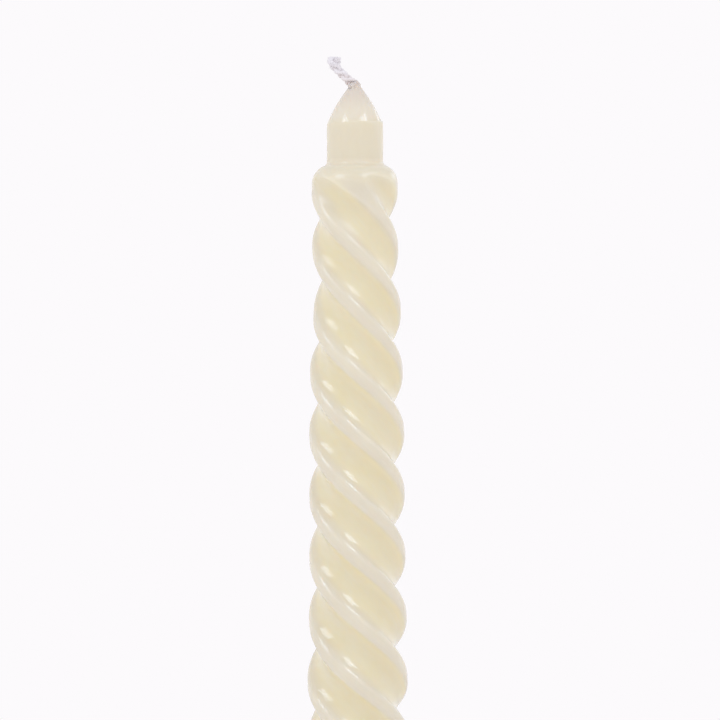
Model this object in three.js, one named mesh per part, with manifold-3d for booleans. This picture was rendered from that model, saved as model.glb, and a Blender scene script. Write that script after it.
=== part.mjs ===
// Spiral taper candle
// One wax body: a plain round foot, four twisted ridges with gently hollow flutes between, a slim neck and a
// pointed tip. A flat plait of three cotton yarns runs through its middle and stands out of the tip.
// Millimetres, +Z up. The origin is the middle of the flat bottom, and the front of the candle faces -Y.

import * as THREE from 'three';
import { mergeVertices } from 'three/addons/utils/BufferGeometryUtils.js';
import Module from 'manifold-3d';

// Lengths along the candle
const waxHeight = 247.7;
const footLength = 24;
const fluteRunOut = 10;
const neckLength = 8.9;
const tipLength = 7.3;

// Foot, which stands in a holder's cup
const footBottomRadius = 10.6;
const footTopRadius = 10.9;
const footBevel = 0.8;

// Crest line of the ridges: full near the foot, an even taper to the waist, then a quick one to the slim top
const crestLow = 11.4;
const crestWaist = 10.18;
const crestTop = 9.2;
const slimLength = 20;
const quickTaperLength = 40;
const evenTaperLength = 112;

// Ridges and flutes, as they are at the low crest; the section shrinks with the crest line
const ridgeCount = 4;
const ridgeLead = 52.6;
const frontRidgeDrop = 4.9;
const ridgeEdgeRadius = 2.35;
const fluteRadius = 28;
const fluteDepth = 2.8;

// Top of the ridges, neck and tip
const shoulderRadius = 3.9;
const neckRadius = 6;
const tipBaseRadius = 5.78;
const tipEndWall = 0.15;
const tipBulge = 0.365;
const tipOffsetLeft = 0.14;
const tipOffsetFront = 0.1;
const tipSlope = 0.04;

// Wick: a flat plait, wide from front to back, that leans to the left above the wax.
// The swings are how far a yarn strays from the wick's middle, counted in yarn spacings.
const yarnCount = 3;
const yarnDiameter = 0.58;
const yarnSpacing = 0.78;
const swingAcross = 1.04;
const swingThrough = 0.78;
const plaitLength = 6.4;
const wickClearance = 0.25;
const wickRecess = 0.4;
const stubLean = 4.2;
const stubBendHeight = 5.6;
const stubLowerRise = 1.5;
const stubUpperRise = 1.7;
const stubEndLength = 1;
const frayedLength = 2;
const fraySpread = 0.35;

// How finely curved faces are cut into flat ones
const fluteSteps = 1;
const edgeSteps = 3;
const spiralStep = 2.45;
const runOutSteps = 5;
const shoulderSteps = 6;
const tipSteps = 6;
const boreSides = 16;
const yarnSides = 5;
const stepsPerPlait = 6;
const stubSteps = 18;

// Worked out from the sizes above
const spiralTop = waxHeight - tipLength - neckLength;
const tipBase = waxHeight - tipLength;
const halfPitch = Math.PI / ridgeCount;
const boreRadius = swingAcross * yarnSpacing + yarnDiameter / 2 + wickClearance;

const { lerp, smoothstep } = THREE.MathUtils;

const wasm = await Module();
wasm.setup();

// Joins rings of points into one closed skin, with a fan over each end. All rings have the same count.
function loftRings(rings) {
  const count = rings[0].length;
  const last = rings.length - 1;
  const points = rings.flat();
  const centres = [rings[0], rings[last]].map((ring) => middleOf(ring));
  const bottomCentre = points.length;
  const topCentre = bottomCentre + 1;
  const index = [];
  for (let level = 0; level < last; level++) {
    for (let i = 0; i < count; i++) {
      const next = (i + 1) % count;
      const low = level * count;
      const high = low + count;
      index.push(low + i, low + next, high + next);
      index.push(low + i, high + next, high + i);
    }
  }
  for (let i = 0; i < count; i++) {
    const next = (i + 1) % count;
    index.push(bottomCentre, next, i);
    index.push(topCentre, last * count + i, last * count + next);
  }
  const geometry = new THREE.BufferGeometry().setFromPoints([...points, ...centres]);
  geometry.setIndex(index);
  return geometry;
}

function middleOf(ring) {
  const sum = ring.reduce((total, point) => total.add(point), new THREE.Vector3());
  return sum.divideScalar(ring.length);
}

// Radius of the ridges' crests at a height in the spiral
function crestRadius(height) {
  const waistHeight = spiralTop - slimLength - quickTaperLength;
  const quick = smoothstep(height, waistHeight, waistHeight + quickTaperLength);
  const even = smoothstep(height, waistHeight - evenTaperLength, waistHeight);
  return crestLow - (crestLow - crestWaist) * even - (crestWaist - crestTop) * quick;
}

// The section across a ridge and a flute: a hollow flute arc, a rounded edge that runs into it and a land.
// Angles are counted from the middle of the flute.
function sectionShape(crest, depth) {
  const scale = crest / crestLow;
  const edge = ridgeEdgeRadius * scale;
  const flute = fluteRadius * scale;
  const edgeCentre = crest - edge;
  const fluteCentre = crest - depth * scale + flute;
  const reach = edge + flute;
  const cosine = (edgeCentre ** 2 + fluteCentre ** 2 - reach ** 2) / (2 * edgeCentre * fluteCentre);
  const landAngle = Math.acos(Math.min(1, cosine));
  const edgeX = edgeCentre * Math.cos(landAngle);
  const edgeY = edgeCentre * Math.sin(landAngle);
  const touch = new THREE.Vector2(edgeX, edgeY).lerp(new THREE.Vector2(fluteCentre, 0), edge / reach);
  return { crest, edge, flute, edgeCentre, fluteCentre, landAngle, edgeX, edgeY, touchAngle: touch.angle() };
}

// Distance from the axis to the section's outline at an angle from the middle of the flute
function outlineRadius(shape, angle) {
  if (angle >= shape.landAngle) {
    return shape.crest;
  }
  if (angle > shape.touchAngle) {
    const off = angle - shape.landAngle;
    const rise = shape.edgeCentre * Math.sin(off);
    return shape.edgeCentre * Math.cos(off) + Math.sqrt(shape.edge ** 2 - rise ** 2);
  }
  const rise = shape.fluteCentre * Math.sin(angle);
  return shape.fluteCentre * Math.cos(angle) - Math.sqrt(shape.flute ** 2 - rise ** 2);
}

// Angles from the middle of a flute at which every ring has its points: evenly along each arc
function outlineAngles() {
  const shape = sectionShape(crestLow, fluteDepth);
  const touchX = outlineRadius(shape, shape.touchAngle) * Math.cos(shape.touchAngle);
  const touchY = outlineRadius(shape, shape.touchAngle) * Math.sin(shape.touchAngle);
  const fluteSweep = Math.atan2(touchY, shape.fluteCentre - touchX);
  const edgeFrom = Math.atan2(touchY - shape.edgeY, touchX - shape.edgeX);
  const angles = [0];
  for (let i = 1; i <= fluteSteps; i++) {
    const turn = fluteSweep * i / fluteSteps;
    const x = shape.fluteCentre - shape.flute * Math.cos(turn);
    angles.push(Math.atan2(shape.flute * Math.sin(turn), x));
  }
  for (let i = 1; i <= edgeSteps; i++) {
    const turn = lerp(edgeFrom, shape.landAngle, i / edgeSteps);
    const x = shape.edgeX + shape.edge * Math.cos(turn);
    angles.push(Math.atan2(shape.edgeY + shape.edge * Math.sin(turn), x));
  }
  const mirrored = angles.slice(1).reverse().map((angle) => -angle);
  return [...mirrored, ...angles];
}

const ringAngles = outlineAngles();

// One ring of the wax at a height. The limit trims the ridges.
function waxRing(height, crest, depth, limit = Infinity) {
  const shape = sectionShape(crest, depth);
  const turned = THREE.MathUtils.clamp(height, footLength, spiralTop) - (spiralTop - frontRidgeDrop);
  const front = -Math.PI / 2 - 2 * Math.PI * turned / ridgeLead;
  const ring = [];
  for (let ridge = 0; ridge < ridgeCount; ridge++) {
    const fluteMiddle = front + (2 * ridge + 1) * halfPitch;
    for (const angle of ringAngles) {
      const radius = Math.min(outlineRadius(shape, Math.abs(angle)), limit);
      const azimuth = fluteMiddle + angle;
      ring.push(new THREE.Vector3(radius * Math.cos(azimuth), radius * Math.sin(azimuth), height));
    }
  }
  return ring;
}

// Plain foot with a bevelled bottom edge
function footRings() {
  return [
    waxRing(0, footBottomRadius - footBevel, 0),
    waxRing(footBevel, footBottomRadius, 0),
    waxRing(footLength, footTopRadius, 0),
  ];
}

// The flutes start above the foot and sink to their full depth as a round cutter does
function runOutRings() {
  const rings = [];
  for (let i = 1; i <= runOutSteps; i++) {
    const share = i / runOutSteps;
    const sunk = Math.sqrt(1 - (1 - share) ** 2);
    const height = footLength + fluteRunOut * share;
    const crest = lerp(footTopRadius, crestRadius(height), smoothstep(share, 0, 1));
    rings.push(waxRing(height, crest, fluteDepth * sunk));
  }
  return rings;
}

// Twisted ridges, up to where their tops start to round over
function spiralRings() {
  const start = footLength + fluteRunOut;
  const length = spiralTop - shoulderRadius - start;
  const steps = Math.ceil(length / spiralStep);
  const rings = [];
  for (let i = 1; i <= steps; i++) {
    const height = start + length * i / steps;
    rings.push(waxRing(height, crestRadius(height), fluteDepth));
  }
  return rings;
}

// The tops of the ridges are rounded over, down to the neck
function shoulderRings() {
  const centreHeight = spiralTop - shoulderRadius;
  const centreRadius = crestRadius(spiralTop) - shoulderRadius;
  const neckTurn = Math.acos(Math.max(0, neckRadius - centreRadius) / shoulderRadius);
  const rings = [];
  for (let i = 1; i <= shoulderSteps; i++) {
    const turn = neckTurn * i / shoulderSteps;
    const height = centreHeight + shoulderRadius * Math.sin(turn);
    const limit = centreRadius + shoulderRadius * Math.cos(turn);
    rings.push(waxRing(height, crestRadius(height), fluteDepth, Math.max(limit, neckRadius)));
  }
  return rings;
}

// The tip was turned slightly off centre, most of all at its base
function shiftRing(ring, share) {
  for (const point of ring) {
    point.x -= share * tipOffsetLeft;
    point.y -= share * tipOffsetFront;
  }
  return ring;
}

// The tip's base isn't quite level: its right side sits higher
function leanRing(ring, share) {
  for (const point of ring) {
    point.z += share * tipSlope * point.x;
  }
  return ring;
}

// Slim neck, a small ledge and the tip's swelling cone
function neckAndTipRings() {
  const rings = [leanRing(waxRing(tipBase, crestTop, fluteDepth, neckRadius), 1)];
  for (let i = 0; i <= tipSteps; i++) {
    const share = i / tipSteps;
    const straight = lerp(tipBaseRadius, boreRadius + tipEndWall, share);
    const radius = straight + 4 * tipBulge * share * (1 - share);
    const ring = waxRing(tipBase + tipLength * share, crestTop, fluteDepth, radius);
    rings.push(leanRing(shiftRing(ring, 1 - share), 1 - share));
  }
  return rings;
}

// Turns a closed geometry into a solid that can be cut
function toSolid(geometry) {
  const plain = geometry.clone();
  plain.deleteAttribute('normal');
  plain.deleteAttribute('uv');
  const merged = mergeVertices(plain);
  const vertProperties = new Float32Array(merged.attributes.position.array);
  const triVerts = new Uint32Array(merged.index.array);
  return new wasm.Manifold(new wasm.Mesh({ numProp: 3, vertProperties, triVerts }));
}

function toGeometry(solid) {
  const mesh = solid.getMesh();
  const geometry = new THREE.BufferGeometry();
  geometry.setAttribute('position', new THREE.BufferAttribute(mesh.vertProperties, 3));
  geometry.setIndex(new THREE.BufferAttribute(mesh.triVerts, 1));
  geometry.computeVertexNormals();
  return geometry;
}

// The whole wax body, with the hole that the wick fills
function makeWaxBody() {
  const rings = [
    ...footRings(),
    ...runOutRings(),
    ...spiralRings(),
    ...shoulderRings(),
    ...neckAndTipRings(),
  ];
  const bore = new THREE.CylinderGeometry(boreRadius, boreRadius, 2 * waxHeight, boreSides);
  bore.rotateX(Math.PI / 2);
  bore.translate(0, 0, waxHeight / 2);
  return toGeometry(toSolid(loftRings(rings)).subtract(toSolid(bore)));
}

// Middle line of the wick: straight up the bore, over to the left and upright again at its end
function wickLine() {
  const bendStart = new THREE.Vector3(0, 0, waxHeight);
  const bendEnd = new THREE.Vector3(-stubLean, 0, waxHeight + stubBendHeight);
  const lowerHandle = new THREE.Vector3(0, 0, waxHeight + stubLowerRise);
  const upperHandle = new THREE.Vector3(-stubLean, 0, bendEnd.z - stubUpperRise);
  const line = new THREE.CurvePath();
  line.add(new THREE.LineCurve3(new THREE.Vector3(0, 0, wickRecess), bendStart));
  line.add(new THREE.CubicBezierCurve3(bendStart, lowerHandle, upperHandle, bendEnd));
  line.add(new THREE.LineCurve3(bendEnd, bendEnd.clone().setZ(bendEnd.z + stubEndLength)));
  return line;
}

// Path of one yarn: it crosses the wick's width once in a plait's length, and its thickness twice.
// Its stations are the same for all yarns, half a step off the crossings, so that the yarns stay clear.
class YarnPath extends THREE.Curve {
  constructor(middle, yarn) {
    super();
    this.middle = middle;
    this.length = middle.getLength();
    this.phase = Math.PI / stepsPerPlait + 2 * Math.PI * yarn / yarnCount;
    this.hiddenSteps = Math.floor((waxHeight - wickRecess) / plaitLength * stepsPerPlait);
    this.steps = this.hiddenSteps + stubSteps;
  }

  // Long steps inside the wax and short ones above it
  getUtoTmapping(u) {
    const step = u * this.steps;
    const hiddenShare = this.hiddenSteps * plaitLength / stepsPerPlait / this.length;
    if (step <= this.hiddenSteps) {
      return hiddenShare * step / this.hiddenSteps;
    }
    return lerp(hiddenShare, 1, (step - this.hiddenSteps) / stubSteps);
  }

  getPoint(t, target = new THREE.Vector3()) {
    const along = t * this.length;
    const turn = 2 * Math.PI * along / plaitLength + this.phase;
    const spread = 1 + fraySpread * smoothstep(along, this.length - frayedLength, this.length);
    const widthWay = new THREE.Vector3(0, 1, 0);
    const thicknessWay = widthWay.clone().cross(this.middle.getTangent(t)).normalize();
    target.copy(this.middle.getPoint(t));
    target.addScaledVector(widthWay, spread * swingAcross * yarnSpacing * Math.sin(turn));
    return target.addScaledVector(thicknessWay, spread * swingThrough * yarnSpacing * Math.sin(2 * turn));
  }
}

function makeYarn(middle, yarn) {
  const path = new YarnPath(middle, yarn);
  const corners = [];
  for (let side = 0; side < yarnSides; side++) {
    const turn = 2 * Math.PI * side / yarnSides;
    corners.push(new THREE.Vector2(Math.cos(turn), Math.sin(turn)).multiplyScalar(yarnDiameter / 2));
  }
  return new THREE.ExtrudeGeometry(new THREE.Shape(corners), { steps: path.steps, extrudePath: path });
}

const wax = { color: 0xe9dfc4, roughness: 0.42, metalness: 0 };
const cotton = { color: 0xdcd6d2, roughness: 0.95, metalness: 0 };

function addPiece(group, name, geometry, look) {
  const mesh = new THREE.Mesh(geometry, new THREE.MeshStandardMaterial(look));
  mesh.name = name;
  group.add(mesh);
}

const candle = new THREE.Group();
addPiece(candle, 'wax_body', makeWaxBody(), wax);

const middle = wickLine();
for (let yarn = 0; yarn < yarnCount; yarn++) {
  addPiece(candle, `wick_yarn_${yarn + 1}`, makeYarn(middle, yarn), cotton);
}

export default candle;
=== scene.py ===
import math
import random
from bisect import bisect_left
from itertools import accumulate, pairwise

import bmesh
import bpy
from mathutils import Matrix, Vector, noise
from mathutils.geometry import interpolate_bezier


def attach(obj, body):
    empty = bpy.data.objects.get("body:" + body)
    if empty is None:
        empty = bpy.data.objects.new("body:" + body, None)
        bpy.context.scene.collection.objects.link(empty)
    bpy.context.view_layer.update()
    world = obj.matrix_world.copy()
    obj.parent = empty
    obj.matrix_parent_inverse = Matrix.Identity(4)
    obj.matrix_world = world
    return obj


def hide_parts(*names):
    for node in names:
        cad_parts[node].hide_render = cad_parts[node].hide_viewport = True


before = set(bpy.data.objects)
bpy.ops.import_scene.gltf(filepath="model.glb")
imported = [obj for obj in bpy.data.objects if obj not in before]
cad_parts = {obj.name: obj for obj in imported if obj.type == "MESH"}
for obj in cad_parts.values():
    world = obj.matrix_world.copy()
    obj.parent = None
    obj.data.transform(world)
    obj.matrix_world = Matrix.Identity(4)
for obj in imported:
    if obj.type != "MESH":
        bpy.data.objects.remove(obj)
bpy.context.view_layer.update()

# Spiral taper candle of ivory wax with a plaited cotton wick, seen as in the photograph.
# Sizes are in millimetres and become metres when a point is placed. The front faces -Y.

MM = 0.001

# Lengths along the candle, as in the solids
WAX_HEIGHT = 247.7
FOOT_LENGTH = 24
FLUTE_RUN_OUT = 10
NECK_LENGTH = 8.9
TIP_LENGTH = 7.3
SPIRAL_TOP = WAX_HEIGHT - TIP_LENGTH - NECK_LENGTH
TIP_BASE = WAX_HEIGHT - TIP_LENGTH

# Foot
FOOT_BOTTOM_RADIUS = 10.6
FOOT_TOP_RADIUS = 10.9
FOOT_BEVEL = 0.8
FLAT_MARGIN = 0.3

# Crest line of the ridges
CREST_LOW = 11.4
CREST_WAIST = 10.18
CREST_TOP = 9.2
SLIM_LENGTH = 20
QUICK_TAPER_LENGTH = 40
EVEN_TAPER_LENGTH = 112

# Ridges and flutes at the low crest
RIDGE_COUNT = 4
RIDGE_LEAD = 52.6
FRONT_RIDGE_DROP = 4.9
RIDGE_EDGE_RADIUS = 2.35
FLUTE_RADIUS = 34
FLUTE_DEPTH = 2.7
SHALLOW_SHARE = 0.8
HALF_PITCH = math.pi / RIDGE_COUNT

# Pale band on each ridge, painted light: the whiter look of thin ridges that light passes
# through, and on the upper side the paler upward-facing flank lit from above. Its half width,
# how it fades above and below, there and at the spiral's top, and the tone of the plain foot and
# neck
BAND_INNER = math.radians(10)
UPPER_FADE = math.radians(19)
TOP_UPPER_FADE = math.radians(34)
LOWER_FADE = math.radians(6)
TOP_LOWER_FADE = math.radians(13)
PLAIN_SHARE = 0.75

# Spans below the spiral's top, from and to: the flutes grow shallow, the bands' fades widen and
# the bands end
SHALLOW_SPAN = (10, 1)
UPPER_WIDENING = (20, 4)
LOWER_WIDENING = (40, 10)
BAND_ENDING = (7, 1.5)

# A real candle isn't quite straight or even: height, size and reach of each hump
SWAYS = ((221, -0.24, 9), (202.5, 0.32, 6), (123, -0.16, 6))
SWELLS = ((192.5, 0.2, 6), (206.5, -0.12, 7), (117, 0.15, 4))

# Slow and quick unevenness of the wax's skin
WAVE_LENGTH = 17
WAVE_HEIGHT = 0.07
RIPPLE_LENGTH = 4.5
RIPPLE_HEIGHT = 0.018

# Shoulder, neck and tip
SHOULDER_RADIUS = 4.2
SHOULDER_FILLET = 1
SHOULDER_SOFT_SHARE = 0.6
NECK_RADIUS = 6
TIP_BASE_RADIUS = 5.78
TIP_END_RADIUS = 1.5
TIP_BULGE = 0.365
TIP_OFFSET = Vector((-0.13, -0.17, 0))
TIP_SLOPE = 0.04
LEDGE_ROUNDING = 0.02
LEDGE_SUPPORT = 0.004

# Wax that climbs the wick's foot: it narrows over a share of its height, then closes
CLIMB_HEIGHT = 1.7
CLIMB_THICKNESS = 1.3
CLIMB_LUMPS = 0.3
CLIMB_NARROWING = 0.5
CLIMB_CLOSING = 0.45

# Wick's middle line and the bore round it
WICK_RECESS = 0.4
BORE_RADIUS = 1.351
BORE_TOP = TIP_BASE - 3
STUB_LEAN = 4.4
STUB_BEND_HEIGHT = 5.6
STUB_LOWER_RISE = 1.2
STUB_UPPER_RISE = 1.8
STUB_END_LENGTH = 1
STUB_POINTS = 61
TANGENT_REACH = 0.2

# Plait: swings of the yarns, and how wide it is in the wax, where wax swells it and at its end
YARN_COUNT = 3
YARN_SPACING = 0.73
SWING_ACROSS = 1.04
SWING_THROUGH = 0.78
PLAIT_LENGTH = 6.4
PLAIT_PHASE = math.pi / 6
PLAIT_TIGHTNESS = 0.92
PLAIT_SWELLING = 0.16
SWELLING_RISE = (0, 1.2)
SWELLING_FALL = (1.6, 3.2)
PLAIT_OPENING = 0.36
OPENING_SPAN = (5.0, 7.6)

# Threads, with the steps of their paths in the wax and above it, and their open, uneven ends
THREAD_COUNT = 5
THREAD_RADIUS = 0.3
THREAD_ORBIT = 0.18
THREAD_LAY = 2.3
HIDDEN_STEP = 0.9
SHOWN_STEP = 0.11
SHOWN_OVERLAP = 1
UNEVEN_ENDS = 0.7
END_OPENING = 0.6
END_OPENING_LENGTH = 1.8
END_THICKENING = 0.7
END_THICKENING_SPAN = (2, 0.6)

# Loose fibres. Cotton fibres are some 0.015 mm thick, too fine to show, so they are drawn thicker.
FIBRE_STEPS = 6
FIBRE_TAPER = 0.5
FIBRE_LENGTHS = (0.25, 0.6)
FRAYED_FIBRES = 700
FRAYED_FIBRE_RADIUS = 0.045
FRAYED_REACH = (0.1, 1.9)
FRAYED_SCATTER = 0.3
FRAYED_SPREAD = 0.5
FRAYED_RISE = (-0.25, 0.9)
FRAYED_CURL = 0.7
STRAY_FIBRES = 90
STRAY_FIBRE_RADIUS = 0.02
STRAY_START = 1.6
STRAY_END = 0.8
STRAY_ROOT = 0.1
STRAY_RISE = (-0.6, 1.0)
STRAY_CURL = 0.5

# Seeds of the random draws
THREAD_SEED = 11
FRAYED_SEED = 5
STRAY_SEED = 8

# How finely everything is cut
FLUTE_STEPS = 9
EDGE_STEPS = 8
LAND_STEPS = 2
BEVEL_STEPS = 6
FOOT_STEPS = 12
RUN_OUT_STEPS = 20
RING_SPACING = 0.75
SHOULDER_STEPS = 18
FILLET_STEPS = 6
NECK_STEPS = 12
LEDGE_STEPS = 4
TIP_STEPS = 20
CLIMB_STEPS = 12
THREAD_ROUNDNESS = 2
FIBRE_ROUNDNESS = 0


def lerp(low, high, share):
    return low + (high - low) * share


def smoothstep(value, low, high):
    share = min(1, max(0, (value - low) / (high - low)))
    return share * share * (3 - 2 * share)


def below_top(height, span):
    """Goes from 0 to 1 over a span below the spiral's top."""
    return smoothstep(height, SPIRAL_TOP - span[0], SPIRAL_TOP - span[1])


def soft_minimum(one, other, blend):
    """The lesser of two lengths, with the corner between them rounded off."""
    close = max(0, blend - abs(one - other))
    return min(one, other) - (close * close / (4 * blend) if blend else 0)


# Shape of the wax


def humps(height, places):
    """Sum of gentle humps, each given by its height, its size and how far it reaches."""
    return sum(
        size * math.exp(-(((height - middle) / reach) ** 2)) for middle, size, reach in places
    )


def crest_radius(height):
    """Radius of the ridges' crests at a height in the spiral."""
    waist = SPIRAL_TOP - SLIM_LENGTH - QUICK_TAPER_LENGTH
    quick = smoothstep(height, waist, waist + QUICK_TAPER_LENGTH)
    even = smoothstep(height, waist - EVEN_TAPER_LENGTH, waist)
    crest = CREST_LOW - (CREST_LOW - CREST_WAIST) * even - (CREST_WAIST - CREST_TOP) * quick
    return crest + humps(height, SWELLS)


def flute_depth(height):
    """The flutes grow shallow towards the shoulder."""
    return FLUTE_DEPTH * (1 - SHALLOW_SHARE * below_top(height, SHALLOW_SPAN))


class Section:
    """The section across a ridge and a flute: a hollow arc, a rounded edge and a land."""

    def __init__(self, crest, depth):
        scale = crest / CREST_LOW
        self.crest = crest
        self.edge = RIDGE_EDGE_RADIUS * scale
        self.flute = FLUTE_RADIUS * scale
        self.edge_centre = crest - self.edge
        self.flute_centre = crest - depth * scale + self.flute
        reach = self.edge + self.flute
        cosine = self.edge_centre ** 2 + self.flute_centre ** 2 - reach ** 2
        cosine /= 2 * self.edge_centre * self.flute_centre
        self.land_angle = math.acos(min(1, cosine))
        self.edge_x = self.edge_centre * math.cos(self.land_angle)
        self.edge_y = self.edge_centre * math.sin(self.land_angle)
        share = self.edge / reach
        self.touch_angle = math.atan2(
            lerp(self.edge_y, 0, share), lerp(self.edge_x, self.flute_centre, share)
        )

    def radius(self, angle):
        """Distance from the axis at an angle from the middle of the flute."""
        if angle >= self.land_angle:
            return self.crest
        if angle > self.touch_angle:
            off = angle - self.land_angle
            rise = self.edge_centre * math.sin(off)
            return self.edge_centre * math.cos(off) + math.sqrt(self.edge ** 2 - rise ** 2)
        rise = self.flute_centre * math.sin(angle)
        return self.flute_centre * math.cos(angle) - math.sqrt(self.flute ** 2 - rise ** 2)


def section_angles():
    """Angles from the middle of a flute at which every ring has its points."""
    shape = Section(CREST_LOW, FLUTE_DEPTH)
    touch = shape.radius(shape.touch_angle)
    touch_x = touch * math.cos(shape.touch_angle)
    touch_y = touch * math.sin(shape.touch_angle)
    flute_sweep = math.atan2(touch_y, shape.flute_centre - touch_x)
    edge_from = math.atan2(touch_y - shape.edge_y, touch_x - shape.edge_x)
    angles = [0]
    for i in range(1, FLUTE_STEPS + 1):
        turn = flute_sweep * i / FLUTE_STEPS
        x = shape.flute_centre - shape.flute * math.cos(turn)
        angles.append(math.atan2(shape.flute * math.sin(turn), x))
    for i in range(1, EDGE_STEPS + 1):
        turn = lerp(edge_from, shape.land_angle, i / EDGE_STEPS)
        x = shape.edge_x + shape.edge * math.cos(turn)
        angles.append(math.atan2(shape.edge_y + shape.edge * math.sin(turn), x))
    for i in range(1, LAND_STEPS):
        angles.append(lerp(shape.land_angle, HALF_PITCH, i / LAND_STEPS))
    mirrored = [-angle for angle in reversed(angles[1:])]
    return mirrored + angles + [HALF_PITCH]


SECTION_ANGLES = section_angles()
RING_SIZE = RIDGE_COUNT * len(SECTION_ANGLES)


def ring_azimuths(height):
    """Azimuth of every point of a ring, and its angle from the middle of its flute."""
    turned = min(SPIRAL_TOP, max(FOOT_LENGTH, height)) - (SPIRAL_TOP - FRONT_RIDGE_DROP)
    front = -math.pi / 2 - 2 * math.pi * turned / RIDGE_LEAD
    return [
        (front + (2 * ridge + 1) * HALF_PITCH + angle, abs(angle))
        for ridge in range(RIDGE_COUNT)
        for angle in SECTION_ANGLES
    ]


def skin_waviness(point):
    """Slight unevenness of wax that shrank in its mould and was handled, in mm."""
    slow = noise.noise(Vector(point) / WAVE_LENGTH)
    quick = noise.noise(Vector(point) / RIPPLE_LENGTH)
    return WAVE_HEIGHT * slow + RIPPLE_HEIGHT * quick


def wax_ring(height, crest, depth, limit=math.inf, blend=0, wavy=1):
    """One ring of the wax: its points in mm. The limit trims the ridges."""
    shape = Section(crest, depth)
    ring = []
    for azimuth, angle in ring_azimuths(height):
        radius = soft_minimum(shape.radius(angle), limit, blend)
        way = Vector((math.cos(azimuth), math.sin(azimuth), 0))
        point = way * radius + Vector((humps(height, SWAYS), 0, height))
        ring.append(point + way * wavy * skin_waviness(point))
    return ring


def bore_ring(height, radius):
    around = [azimuth for azimuth, _ in ring_azimuths(height)]
    return [Vector((radius * math.cos(a), radius * math.sin(a), height)) for a in around]


def bore_rings():
    """The hole that the wick fills, from its closed upper end down to the foot."""
    rings = [bore_ring(BORE_TOP, BORE_RADIUS * share) for share in (0, 0.5, 1)]
    return rings + [bore_ring(WAX_HEIGHT / 2, BORE_RADIUS), bore_ring(0, BORE_RADIUS)]


def foot_rings():
    rings = []
    flat = FOOT_BOTTOM_RADIUS - FOOT_BEVEL
    for radius in (lerp(BORE_RADIUS, flat, 0.5), flat - FLAT_MARGIN):
        rings.append(wax_ring(0, radius, 0, wavy=0))
    for i in range(BEVEL_STEPS + 1):
        share = i / BEVEL_STEPS
        turn = math.pi / 2 * share
        radius = flat + FOOT_BEVEL * math.sin(turn)
        rings.append(wax_ring(FOOT_BEVEL * (1 - math.cos(turn)), radius, 0, wavy=share))
    for i in range(1, FOOT_STEPS + 1):
        share = i / FOOT_STEPS
        height = lerp(FOOT_BEVEL, FOOT_LENGTH, share)
        rings.append(wax_ring(height, lerp(FOOT_BOTTOM_RADIUS, FOOT_TOP_RADIUS, share), 0))
    return rings


def run_out_rings():
    """The flutes start above the foot and sink as a round cutter does."""
    rings = []
    for i in range(1, RUN_OUT_STEPS + 1):
        share = i / RUN_OUT_STEPS
        sunk = math.sqrt(1 - (1 - share) ** 2)
        height = FOOT_LENGTH + FLUTE_RUN_OUT * share
        crest = lerp(FOOT_TOP_RADIUS, crest_radius(height), smoothstep(share, 0, 1))
        rings.append(wax_ring(height, crest, FLUTE_DEPTH * sunk))
    return rings


def spiral_rings():
    start = FOOT_LENGTH + FLUTE_RUN_OUT
    length = SPIRAL_TOP - SHOULDER_RADIUS - start
    steps = math.ceil(length / RING_SPACING)
    heights = [start + length * i / steps for i in range(1, steps + 1)]
    return [wax_ring(height, crest_radius(height), flute_depth(height)) for height in heights]


def shoulder_rings():
    """The ridges' tops are rounded over and run into the neck with a small fillet."""
    centre_height = SPIRAL_TOP - SHOULDER_RADIUS
    centre_radius = crest_radius(SPIRAL_TOP) - SHOULDER_RADIUS
    across = NECK_RADIUS + SHOULDER_FILLET - centre_radius
    rise = math.sqrt((SHOULDER_RADIUS + SHOULDER_FILLET) ** 2 - across ** 2)
    meeting = math.atan2(rise, across)
    profile = []
    for i in range(1, SHOULDER_STEPS + 1):
        share = i / SHOULDER_STEPS
        turn = meeting * share
        height = centre_height + SHOULDER_RADIUS * math.sin(turn)
        limit = centre_radius + SHOULDER_RADIUS * math.cos(turn)
        soft = 1 - smoothstep(share, SHOULDER_SOFT_SHARE, 1)
        profile.append((height, limit, max(0, crest_radius(height) - limit) * soft))
    for i in range(1, FILLET_STEPS + 1):
        turn = meeting * (1 - i / FILLET_STEPS)
        height = centre_height + rise - SHOULDER_FILLET * math.sin(turn)
        limit = NECK_RADIUS + SHOULDER_FILLET * (1 - math.cos(turn))
        profile.append((height, limit, 0))
    return [
        wax_ring(height, crest_radius(height), flute_depth(height), limit, blend)
        for height, limit, blend in profile
    ]


def neck_rings():
    start = SPIRAL_TOP + SHOULDER_FILLET
    end = TIP_BASE - LEDGE_ROUNDING
    rings = []
    for i in range(1, NECK_STEPS + 1):
        rings.append(wax_ring(lerp(start, end, i / NECK_STEPS), NECK_RADIUS, 0))
    for i in range(1, LEDGE_STEPS + 1):
        turn = math.pi / 2 * i / LEDGE_STEPS
        radius = NECK_RADIUS - LEDGE_ROUNDING * (1 - math.cos(turn))
        rings.append(wax_ring(end + LEDGE_ROUNDING * math.sin(turn), radius, 0))
    for ring in rings:
        lean_ring(ring, smoothstep(ring[0].z, start, end))
    return rings


def lean_ring(ring, share):
    """The tip's base isn't quite level: its right side sits higher."""
    for point in ring:
        point.z += share * TIP_SLOPE * point.x


def tip_rings():
    """The tip's swelling cone, which was turned slightly off centre."""
    rings = []
    for share in [0, LEDGE_SUPPORT] + [i / TIP_STEPS for i in range(1, TIP_STEPS + 1)]:
        radius = lerp(TIP_BASE_RADIUS, TIP_END_RADIUS, share)
        radius += 4 * TIP_BULGE * share * (1 - share)
        ring = wax_ring(TIP_BASE + TIP_LENGTH * share, radius, 0, wavy=1 - share)
        for point in ring:
            point += TIP_OFFSET * (1 - share)
        lean_ring(ring, 1 - share)
        rings.append(ring)
    return rings


# The wick's middle line


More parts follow.
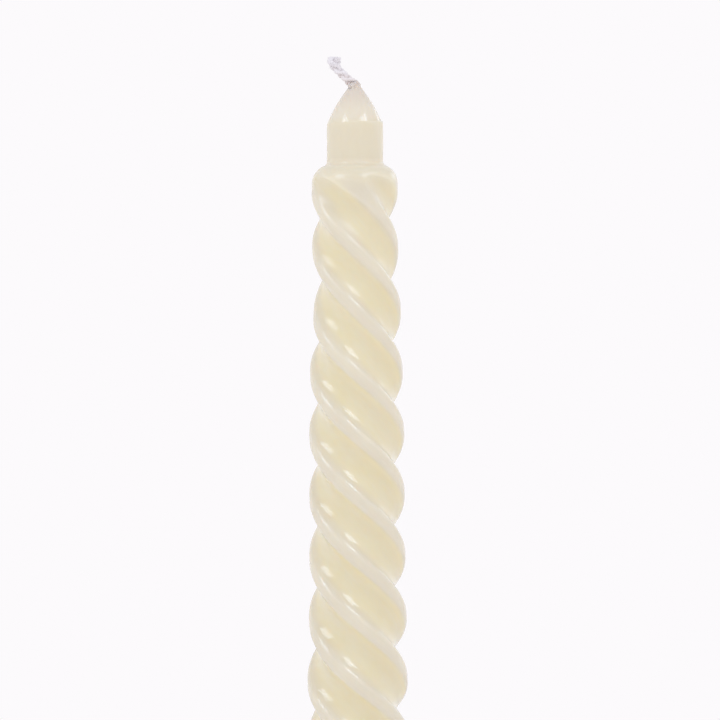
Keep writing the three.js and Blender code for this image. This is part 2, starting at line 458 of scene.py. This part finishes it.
def middle_line():
    """Points along the wick's middle: up the bore, over to the left and upright again."""
    start = Vector((0, 0, WAX_HEIGHT))
    end = Vector((-STUB_LEAN, 0, WAX_HEIGHT + STUB_BEND_HEIGHT))
    lower_handle = start + Vector((0, 0, STUB_LOWER_RISE))
    upper_handle = end - Vector((0, 0, STUB_UPPER_RISE))
    points = [Vector((0, 0, WICK_RECESS))]
    points += interpolate_bezier(start, lower_handle, upper_handle, end, STUB_POINTS)
    points.append(end + Vector((0, 0, STUB_END_LENGTH)))
    return points


MIDDLE = middle_line()
STATIONS = list(accumulate(((b - a).length for a, b in pairwise(MIDDLE)), initial=0))
WICK_LENGTH = STATIONS[-1]
HIDDEN_LENGTH = WAX_HEIGHT - WICK_RECESS


def middle_point(along):
    i = min(max(1, bisect_left(STATIONS, along)), len(STATIONS) - 1)
    share = (along - STATIONS[i - 1]) / (STATIONS[i] - STATIONS[i - 1])
    return MIDDLE[i - 1].lerp(MIDDLE[i], share)


def middle_frame(along):
    """Middle point, the way through the wick's thickness and the way across its width."""
    tangent = middle_point(along + TANGENT_REACH) - middle_point(along - TANGENT_REACH)
    across = Vector((0, 1, 0))
    through = across.cross(tangent).normalized()
    return middle_point(along), through, across


def plait_spread(along):
    """The plait is swollen with wax at its base, tight in the middle and open at its end."""
    above = along - HIDDEN_LENGTH
    swollen = PLAIT_SWELLING * smoothstep(above, *SWELLING_RISE)
    swollen *= 1 - smoothstep(above, *SWELLING_FALL)
    return PLAIT_TIGHTNESS + swollen + PLAIT_OPENING * smoothstep(above, *OPENING_SPAN)


def yarn_offset(along, yarn):
    turn = 2 * math.pi * along / PLAIT_LENGTH + PLAIT_PHASE + 2 * math.pi * yarn / YARN_COUNT
    spread = plait_spread(along) * YARN_SPACING
    return spread * SWING_THROUGH * math.sin(2 * turn), spread * SWING_ACROSS * math.sin(turn)


def climbing_rings():
    """The wax climbs the foot of the wick and closes round it."""
    rings = []
    for i in range(1, CLIMB_STEPS + 1):
        share = i / CLIMB_STEPS
        middle, through, across = middle_frame(HIDDEN_LENGTH + CLIMB_HEIGHT * share)
        thick = lerp(TIP_END_RADIUS, CLIMB_THICKNESS, smoothstep(share, 0, CLIMB_NARROWING))
        closed = max(0, (share - CLIMB_CLOSING) / (1 - CLIMB_CLOSING))
        closing = math.sqrt(max(0, 1 - closed ** 2))
        ring = []
        for azimuth, _ in ring_azimuths(SPIRAL_TOP):
            x = thick * closing * math.cos(azimuth)
            y = TIP_END_RADIUS * closing * math.sin(azimuth)
            lump = 1 + CLIMB_LUMPS * share * noise.noise(Vector((x, y, 3 * share)))
            ring.append(middle + (through * x + across * y) * lump)
        rings.append(ring)
    return rings


# Meshes


def mesh_object(name, bm):
    mesh = bpy.data.meshes.new(name)
    bm.to_mesh(mesh)
    bm.free()
    made = bpy.data.objects.new(name, mesh)
    bpy.context.collection.objects.link(made)
    for polygon in mesh.polygons:
        polygon.use_smooth = True
    return made


def sweep(bm, rings):
    """Extrudes one ring of edges through all the rings."""
    place = bm.verts.layers.int.new("place")
    level = bm.verts.layers.int.new("level")
    verts = bmesh.ops.create_circle(bm, segments=len(rings[0]), radius=MM)["verts"]
    for i, vert in enumerate(verts):
        vert[place] = i
        vert.co = rings[0][i] * MM
    edges = [bm.edges.get((verts[i - 1], verts[i])) for i in range(len(verts))]
    for number, ring in enumerate(rings[1:], 1):
        made = bmesh.ops.extrude_edge_only(bm, edges=edges)["geom"]
        for vert in made:
            if isinstance(vert, bmesh.types.BMVert):
                vert[level] = number
                vert.co = ring[vert[place]] * MM
        edges = [edge for edge in made if isinstance(edge, bmesh.types.BMEdge)]
        edges = [edge for edge in edges if edge.verts[0][level] == edge.verts[1][level]]


def ridge_share(vert, place):
    """1 on the lands of the ridges, 0 in the flutes, and between the two on the neck and foot."""
    angle = SECTION_ANGLES[vert[place] % len(SECTION_ANGLES)]
    height = vert.co.z / MM
    # Painted light: a wider fade on the upper side pales the upward-facing flute above a ridge
    fade = lerp(LOWER_FADE, TOP_LOWER_FADE, below_top(height, LOWER_WIDENING))
    if angle < 0:
        fade = lerp(UPPER_FADE, TOP_UPPER_FADE, below_top(height, UPPER_WIDENING))
    on_ridge = smoothstep(abs(angle), HALF_PITCH - BAND_INNER - fade, HALF_PITCH - BAND_INNER)
    plain = below_top(height, BAND_ENDING)
    plain += 1 - smoothstep(height, FOOT_LENGTH, FOOT_LENGTH + FLUTE_RUN_OUT)
    return lerp(on_ridge, PLAIN_SHARE, min(1, plain))


def make_wax():
    bm = bmesh.new()
    rings = bore_rings() + foot_rings() + run_out_rings() + spiral_rings()
    rings += shoulder_rings() + neck_rings() + tip_rings() + climbing_rings()
    sweep(bm, rings)
    bmesh.ops.remove_doubles(bm, verts=bm.verts, dist=0.001 * MM)
    place = bm.verts.layers.int["place"]
    share = bm.verts.layers.float.new("ridge_share")
    for vert in bm.verts:
        vert[share] = ridge_share(vert, place)
    bmesh.ops.recalc_face_normals(bm, faces=bm.faces)
    lay_wax_uv(bm, place)
    return mesh_object("ivory_wax", bm)


def lay_wax_uv(bm, place):
    """The map runs with the height along the ridges, and with the section across, in metres."""
    uv = bm.loops.layers.uv.new("along_ridges")
    circumference = 2 * math.pi * CREST_TOP * MM
    for face in bm.faces:
        places = [loop.vert[place] for loop in face.loops]
        wraps = max(places) - min(places) > RING_SIZE / 2
        for loop, spot in zip(face.loops, places):
            turned = spot + RING_SIZE if wraps and spot < RING_SIZE / 2 else spot
            loop[uv].uv = (circumference * turned / RING_SIZE, loop.vert.co.z)


def tubes(name, paths, radius, resolution):
    """Round strands along paths of points in mm, with closed ends, as one mesh."""
    curve = bpy.data.curves.new(name, "CURVE")
    curve.dimensions = "3D"
    curve.bevel_depth = radius * MM
    curve.bevel_resolution = resolution
    curve.use_fill_caps = True
    for path in paths:
        spline = curve.splines.new("POLY")
        spline.points.add(len(path) - 1)
        for spot, (point, thickness) in zip(spline.points, path):
            spot.co = (*(point * MM), 1)
            spot.radius = thickness
        spline.use_smooth = True
    carrier = bpy.data.objects.new(name, curve)
    bpy.context.collection.objects.link(carrier)
    mesh = bpy.data.meshes.new_from_object(carrier)
    mesh.name = name
    bpy.data.objects.remove(carrier)
    bpy.data.curves.remove(curve)
    made = bpy.data.objects.new(name, mesh)
    bpy.context.collection.objects.link(made)
    return made


def thread_path(yarn, thread, chance):
    """Twisted thread of a yarn: long steps inside the wax, short ones above it."""
    end = WICK_LENGTH - chance.uniform(0, UNEVEN_ENDS)
    hidden = round(HIDDEN_LENGTH / HIDDEN_STEP)
    shown = round((end - HIDDEN_LENGTH + SHOWN_OVERLAP) / SHOWN_STEP)
    stations = [HIDDEN_LENGTH * i / hidden - SHOWN_OVERLAP for i in range(hidden)]
    stations = [along for along in stations if along > 0]
    stations += [lerp(HIDDEN_LENGTH - SHOWN_OVERLAP, end, i / shown) for i in range(shown + 1)]
    path = []
    for along in stations:
        middle, through, across = middle_frame(along)
        a, b = yarn_offset(along, yarn)
        turn = 2 * math.pi * (along / THREAD_LAY + thread / THREAD_COUNT)
        opened = smoothstep(along, WICK_LENGTH - END_OPENING_LENGTH, WICK_LENGTH)
        orbit = THREAD_ORBIT * (1 + END_OPENING * opened)
        a += orbit * math.cos(turn)
        b += orbit * math.sin(turn)
        thickened = smoothstep(along, end - END_THICKENING_SPAN[0], end - END_THICKENING_SPAN[1])
        path.append((middle + through * a + across * b, 1 + END_THICKENING * thickened))
    return path


def make_yarn(yarn):
    chance = random.Random(THREAD_SEED + yarn)
    paths = [thread_path(yarn, thread, chance) for thread in range(THREAD_COUNT)]
    return tubes(f"cotton_yarn_{yarn + 1}", paths, THREAD_RADIUS, THREAD_ROUNDNESS)


def fibre_path(start, way, length, curl, chance):
    """A loose fibre that bends as it goes."""
    point = start.copy()
    heading = way.normalized()
    path = []
    for i in range(FIBRE_STEPS + 1):
        path.append((point.copy(), 1 - FIBRE_TAPER * i / FIBRE_STEPS))
        bend = Vector([chance.uniform(-curl, curl) for _ in range(3)])
        heading = (heading + bend).normalized()
        point += heading * length / FIBRE_STEPS
    return path


def make_frayed_end():
    """Tuft of loose cotton fibres at the cut end of the wick."""
    chance = random.Random(FRAYED_SEED)
    paths = []
    for _ in range(FRAYED_FIBRES):
        along = WICK_LENGTH - chance.uniform(*FRAYED_REACH)
        middle, through, across = middle_frame(along)
        a, b = yarn_offset(along, chance.randrange(YARN_COUNT))
        a += chance.gauss(0, FRAYED_SCATTER)
        b += chance.gauss(0, FRAYED_SCATTER)
        way = through * (a + chance.gauss(0, FRAYED_SPREAD))
        way += across * (b + chance.gauss(0, FRAYED_SPREAD))
        way.z += chance.uniform(*FRAYED_RISE)
        start = middle + through * a + across * b
        paths.append(fibre_path(start, way, chance.uniform(*FIBRE_LENGTHS), FRAYED_CURL, chance))
    return tubes("frayed_cotton_end", paths, FRAYED_FIBRE_RADIUS, FIBRE_ROUNDNESS)


def make_stray_fibres():
    """Fine fuzz along the dry part of the plait."""
    chance = random.Random(STRAY_SEED)
    paths = []
    for _ in range(STRAY_FIBRES):
        along = HIDDEN_LENGTH
        along += chance.uniform(STRAY_START, WICK_LENGTH - HIDDEN_LENGTH - STRAY_END)
        middle, through, across = middle_frame(along)
        a, b = yarn_offset(along, chance.randrange(YARN_COUNT))
        turn = chance.uniform(0, 2 * math.pi)
        out = through * math.cos(turn) + across * math.sin(turn)
        start = middle + through * a + across * b + out * (THREAD_ORBIT + STRAY_ROOT)
        way = out + Vector((0, 0, chance.uniform(*STRAY_RISE)))
        paths.append(fibre_path(start, way, chance.uniform(*FIBRE_LENGTHS), STRAY_CURL, chance))
    return tubes("stray_cotton_fibres", paths, STRAY_FIBRE_RADIUS, FIBRE_ROUNDNESS)


# Materials

# Sizes of the patterns in the wax: milky clouding, satin patches and the skin's grain. The
# scratches along the ridges are some 0.05 mm wide, too fine to show, so they are drawn 0.4 mm wide.
CLOUD_SIZE = 7
SATIN_SIZE = 2.5
GRAIN_SIZE = 1.1
GRAIN_DEPTH = 0.03
SCRATCH_WIDTH = 0.4
SCRATCH_LENGTH = 14
SCRATCH_DEPTH = 0.02

# Tones laid over the flutes' colour: what places each, where it starts and is full, its strength
# there and its colour. Heights are in mm, and the crease counts mm from the neck's foot. In turn
# they are the ridges, clouding, scratches, neck, crease, cone, thin tip and the wax on the wick.
# Painted light: flutes coloured lighter in red and green to offset the shade in their hollows
FLUTE_COLOUR = "eee4c0"
CREASE_HEIGHT = SPIRAL_TOP + 0.2
WAX_TONES = (
    # Painted light: the ridges' paler tone stands for light that the thin wax lets through
    ("ridge", 0, 1, 1, "e0d8c5"),
    ("cloud", 0.3, 0.7, 0.35, "ede6d1"),
    ("scratches", 0.55, 0.8, 0.25, "efe9d7"),
    ("height", SPIRAL_TOP - 1, SPIRAL_TOP + 1, 1, "e6ddc5"),
    # Painted light: a lighter tone lifts the shade in the crease at the neck's foot
    ("crease", 1.1, 0, 0.6, "f6edd8"),
    ("height", TIP_BASE - 0.2, TIP_BASE + 1, 0.8, "e9e1d0"),
    ("height", WAX_HEIGHT - 4.7, WAX_HEIGHT + 0.1, 1, "dbd1c5"),
    ("height", WAX_HEIGHT + 0.1, WAX_HEIGHT + 1.1, 1, "c5bab3"),
)

# Roughness of the satin patches, its greatest value, and changes placed as the tones are: the
# ridges are rubbed smooth, the upper turns are duller and the cone is glossy
SATIN_ROUGHNESS = (0.12, 0.18)
GREATEST_ROUGHNESS = 0.26
ROUGHNESS_CHANGES = (
    ("ridge", 0, 1, -0.07),
    ("height", 193, 199, 0.06),
    ("height", 204, 209, 0.1),
    ("height", TIP_BASE - 0.6, TIP_BASE, -0.12),
)

# Cotton: the wax creeps up it to a wandering height. Its fibres are some 0.015 mm thick, too fine
# to show, so the fluff is drawn 0.12 mm coarse.
CREEP_SIZE = 1.2
CREEP_REACH = 2.2
DRY_FROM = WAX_HEIGHT + 1.5
DRY_ABOVE = WAX_HEIGHT + 5.1
FLUFF_SIZE = 0.12
FLUFF_DEPTH = 0.04
SOAKED_COLOURS = ("e8ddd8", "efe6e1")
DRY_COLOURS = ("eae5e7", "f4f0f2")
SOAKED_ROUGHNESS = 0.4
DRY_ROUGHNESS = 0.95

# Painted board
BOARD_CLOUD_SIZE = 90
BOARD_COLOURS = ("f6f4f6", "fbf9fb")


def linear(hex_colour):
    """Linear colour of an sRGB hex value such as e8dfc8."""
    parts = [int(hex_colour[i:i + 2], 16) / 255 for i in (0, 2, 4)]
    parts = [p / 12.92 if p <= 0.04045 else ((p + 0.055) / 1.055) ** 2.4 for p in parts]
    return (*parts, 1)


def per_metre(size):
    """Texture scale at which a pattern repeats about every so many millimetres."""
    return 1 / (size * MM)


def add_node(tree, kind, inputs=(), **settings):
    """Adds a node with its settings. Its inputs, by name or in order, get values or links."""
    made = tree.nodes.new(kind)
    for name, value in settings.items():
        setattr(made, name, value)
    for name, value in inputs.items() if isinstance(inputs, dict) else enumerate(inputs):
        if isinstance(value, bpy.types.NodeSocket):
            tree.links.new(value, made.inputs[name])
        else:
            made.inputs[name].default_value = value
    return made


def new_material(name):
    material = bpy.data.materials.new(name)
    material.use_nodes = True
    tree = material.node_tree
    tree.nodes.clear()
    return material, tree


def finish_material(tree, shader_inputs):
    shader = add_node(tree, "ShaderNodeBsdfPrincipled", shader_inputs)
    add_node(tree, "ShaderNodeOutputMaterial", {"Surface": shader.outputs["BSDF"]})


def place_and_height(tree):
    """Where a point of the piece is, in metres, and its height in mm."""
    place = add_node(tree, "ShaderNodeTexCoord").outputs["Object"]
    height = add_node(tree, "ShaderNodeSeparateXYZ", {"Vector": place}).outputs["Z"]
    height = add_node(tree, "ShaderNodeMath", (height, 1 / MM), operation="MULTIPLY").outputs[0]
    return place, height


def moulded_ivory_wax():
    """Ivory paraffin and stearin wax, moulded and handled: a soft satin gloss over a milky body.
    Light enters it, so the ridges look whiter than the flutes; that whiteness is also painted into
    the colour as painted light. The wick greys the thin tip."""
    material, tree = new_material("moulded_ivory_wax")
    place, height = place_and_height(tree)
    ridge = add_node(tree, "ShaderNodeAttribute", attribute_name="ridge_share").outputs["Fac"]
    along = add_node(tree, "ShaderNodeUVMap", uv_map="along_ridges").outputs["UV"]
    along = {"Vector": along, "Scale": (per_metre(SCRATCH_WIDTH), per_metre(SCRATCH_LENGTH), 1)}
    along = add_node(tree, "ShaderNodeMapping", along).outputs["Vector"]
    scratches, cloud, satin, grain = (
        add_node(
            tree, "ShaderNodeTexNoise", {"Vector": where, "Scale": scale, "Detail": detail}
        ).outputs["Fac"]
        for where, scale, detail in (
            (along, 1, 2),
            (place, per_metre(CLOUD_SIZE), 3),
            (place, per_metre(SATIN_SIZE), 4),
            (place, per_metre(GRAIN_SIZE), 3),
        )
    )
    # Distance from the crease at the neck's foot, whose painted light lifts the shade there
    crease = add_node(tree, "ShaderNodeMath", (height, CREASE_HEIGHT), operation="SUBTRACT")
    crease = add_node(tree, "ShaderNodeMath", (crease.outputs[0],), operation="ABSOLUTE").outputs[0]
    sources = {
        "ridge": ridge, "cloud": cloud, "scratches": scratches, "height": height, "crease": crease
    }

    body = linear(FLUTE_COLOUR)
    for source, start, full, strength, colour in WAX_TONES:
        share = add_node(tree, "ShaderNodeMapRange", (sources[source], start, full, 0, strength))
        layer = {0: share.outputs["Result"], 6: body, 7: linear(colour)}
        body = add_node(tree, "ShaderNodeMix", layer, data_type="RGBA").outputs[2]

    roughness = add_node(tree, "ShaderNodeMapRange", (satin, 0.3, 0.7, *SATIN_ROUGHNESS))
    roughness = roughness.outputs["Result"]
    for source, start, full, change in ROUGHNESS_CHANGES:
        shift = add_node(tree, "ShaderNodeMapRange", (sources[source], start, full, 0, change))
        steps = {"ADD": shift.outputs["Result"], "MINIMUM": GREATEST_ROUGHNESS}
        for operation, other in steps.items():
            made = add_node(tree, "ShaderNodeMath", (roughness, other), operation=operation)
            roughness = made.outputs[0]

    # Scratches show on the ridges and stop short of the shoulder
    on_ridges = add_node(tree, "ShaderNodeMapRange", (ridge, 0.25, 0.6, 0.05, 1))
    in_spiral = add_node(tree, "ShaderNodeMapRange", (height, 222, 230, 1, 0.1))
    shown = (on_ridges.outputs["Result"], in_spiral.outputs["Result"])
    shown = add_node(tree, "ShaderNodeMath", shown, operation="MULTIPLY").outputs[0]
    relief = {"Height": grain, "Strength": 0.5, "Distance": GRAIN_DEPTH * MM}
    relief = add_node(tree, "ShaderNodeBump", relief).outputs["Normal"]
    relief = {
        "Height": scratches, "Strength": shown, "Distance": SCRATCH_DEPTH * MM, "Normal": relief
    }
    relief = add_node(tree, "ShaderNodeBump", relief).outputs["Normal"]
    finish_material(
        tree,
        {
            "Base Color": body,
            "Roughness": roughness,
            "IOR": 1.44,
            "Specular IOR Level": 1.0,
            "Normal": relief,
            "Subsurface Weight": 1.0,
            "Subsurface Radius": (3.0, 2.8, 2.4),
            "Subsurface Scale": MM,
            "Sheen Weight": 0.15,
            "Sheen Roughness": 0.3,
        },
    )
    return material


def plaited_bleached_cotton():
    """Bleached cotton thread, plaited: matt and fuzzy where it is dry, and a little darker and
    wet-looking where the wax has soaked in."""
    material, tree = new_material("plaited_bleached_cotton")
    place, height = place_and_height(tree)
    creep, fluff = (
        add_node(
            tree, "ShaderNodeTexNoise", {"Vector": place, "Scale": scale, "Detail": detail}
        ).outputs["Fac"]
        for scale, detail in ((per_metre(CREEP_SIZE), 2), (per_metre(FLUFF_SIZE), 3))
    )
    edge = (creep, CREEP_REACH, height)
    edge = add_node(tree, "ShaderNodeMath", edge, operation="MULTIPLY_ADD").outputs[0]
    dry = add_node(tree, "ShaderNodeMapRange", (edge, DRY_FROM, DRY_ABOVE, 0, 1)).outputs["Result"]
    tone = add_node(tree, "ShaderNodeMapRange", (fluff, 0.3, 0.7, 0, 1)).outputs["Result"]
    soaked_colour, dry_colour = (
        add_node(
            tree, "ShaderNodeMix", {0: tone, 6: linear(shade), 7: linear(light)}, data_type="RGBA"
        ).outputs[2]
        for shade, light in (SOAKED_COLOURS, DRY_COLOURS)
    )
    colour = {0: dry, 6: soaked_colour, 7: dry_colour}
    colour = add_node(tree, "ShaderNodeMix", colour, data_type="RGBA").outputs[2]
    roughness = (dry, 0, 1, SOAKED_ROUGHNESS, DRY_ROUGHNESS)
    roughness = add_node(tree, "ShaderNodeMapRange", roughness).outputs["Result"]
    relief = {"Height": fluff, "Strength": 0.6, "Distance": FLUFF_DEPTH * MM}
    relief = add_node(tree, "ShaderNodeBump", relief).outputs["Normal"]
    finish_material(
        tree,
        {
            "Base Color": colour,
            "Roughness": roughness,
            "Normal": relief,
            "Sheen Weight": 0.2,
            "Sheen Roughness": 0.5,
        },
    )
    return material


def matt_white_board():
    """Matt painted board under the candle: plain and pale, with the faintest clouding."""
    material, tree = new_material("matt_white_board")
    place = add_node(tree, "ShaderNodeTexCoord").outputs["Object"]
    cloud = {"Vector": place, "Scale": per_metre(BOARD_CLOUD_SIZE), "Detail": 4}
    cloud = add_node(tree, "ShaderNodeTexNoise", cloud).outputs["Fac"]
    shade, light = BOARD_COLOURS
    colour = {0: cloud, 6: linear(shade), 7: linear(light)}
    colour = add_node(tree, "ShaderNodeMix", colour, data_type="RGBA").outputs[2]
    finish_material(tree, {"Base Color": colour, "Roughness": 0.85})
    return material


def place_piece(piece, material, slot, *nodes):
    piece.data.materials.append(material)
    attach(piece, "root")
    if nodes:
        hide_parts(*nodes)


wax_material = moulded_ivory_wax()
cotton_material = plaited_bleached_cotton()
place_piece(make_wax(), wax_material, "candle_wax", "wax_body")
for yarn in range(YARN_COUNT):
    place_piece(make_yarn(yarn), cotton_material, "wick_cotton", f"wick_yarn_{yarn + 1}")
place_piece(make_frayed_end(), cotton_material, "wick_cotton")
place_piece(make_stray_fibres(), cotton_material, "wick_cotton")


# Floor, light and camera

FLOOR_RADIUS = 600
BACKGROUND_COLOUR = "fcfafc"
CEILING_COLOUR = "dfdde0"
CEILING_RISE = (0.15, 0.7)
LIGHT_DISTANCE = 900
LIGHT_HEIGHT = 190
LIGHT_COLOUR = "d9eaff"

# Softboxes: azimuth from the front towards the right and elevation in degrees, width and length in
# mm, and radiance
SOFTBOXES = {
    "left_softbox": (-50, 40, 400, 320, 2.8),
    "right_softbox": (48, 44.5, 470, 220, 3.3),
    "rear_softbox": (140, 18, 200, 200, 1.6),
}
CAMERA_PLACE = Vector((0.77, -677, 212.4))
CAMERA_AIM = Vector((0.77, 0, 189.7))
CAMERA_ROLL = -0.34
CAMERA_LENS = 158.4
SENSOR_WIDTH = 36


def make_floor():
    bm = bmesh.new()
    bmesh.ops.create_circle(bm, cap_ends=True, segments=128, radius=FLOOR_RADIUS * MM)
    bmesh.ops.recalc_face_normals(bm, faces=bm.faces)
    floor = mesh_object("pale_floor", bm)
    floor.data.materials.append(matt_white_board())


def aim(thing, place, target, roll=0):
    """Puts a lamp or camera at a place, looking at the target, both in mm."""
    turned = (target - place).to_track_quat("-Z", "Y").to_matrix().to_4x4()
    turned = turned @ Matrix.Rotation(math.radians(roll), 4, "Z")
    thing.matrix_world = Matrix.Translation(place * MM) @ turned


def make_light(name, azimuth, elevation, width, length, radiance):
    """A softbox that looks at the candle from afar."""
    lamp = bpy.data.lights.new(name, "AREA")
    lamp.shape = "RECTANGLE"
    lamp.size = width * MM
    lamp.size_y = length * MM
    lamp.energy = radiance * math.pi * lamp.size * lamp.size_y
    lamp.color = linear(LIGHT_COLOUR)[:3]
    thing = bpy.data.objects.new(name, lamp)
    bpy.context.collection.objects.link(thing)
    azimuth, elevation = math.radians(azimuth), math.radians(elevation)
    way = Vector((math.sin(azimuth), -math.cos(azimuth), math.tan(elevation))).normalized()
    middle = Vector((0, 0, LIGHT_HEIGHT))
    aim(thing, middle + way * LIGHT_DISTANCE, middle)


def make_world():
    world = bpy.data.worlds.new("white_studio")
    bpy.context.scene.world = world
    world.use_nodes = True
    tree = world.node_tree
    tree.nodes.clear()
    way = add_node(tree, "ShaderNodeTexCoord").outputs["Generated"]
    upwards = add_node(tree, "ShaderNodeSeparateXYZ", {"Vector": way}).outputs["Z"]
    overhead = add_node(tree, "ShaderNodeMapRange", (upwards, *CEILING_RISE, 0, 1))
    overhead = overhead.outputs["Result"]
    colour = {0: overhead, 6: linear(BACKGROUND_COLOUR), 7: linear(CEILING_COLOUR)}
    colour = add_node(tree, "ShaderNodeMix", colour, data_type="RGBA").outputs[2]
    glow = add_node(tree, "ShaderNodeBackground", {"Color": colour, "Strength": 1})
    add_node(tree, "ShaderNodeOutputWorld", {"Surface": glow.outputs["Background"]})


def make_camera():
    lens = bpy.data.cameras.new("photo_camera")
    lens.sensor_width = SENSOR_WIDTH
    lens.lens = CAMERA_LENS
    camera = bpy.data.objects.new("photo_camera", lens)
    bpy.context.collection.objects.link(camera)
    aim(camera, CAMERA_PLACE, CAMERA_AIM, CAMERA_ROLL)
    bpy.context.scene.camera = camera


make_floor()
for name, settings in SOFTBOXES.items():
    make_light(name, *settings)
make_world()
make_camera()
bpy.context.scene.view_settings.view_transform = "Standard"
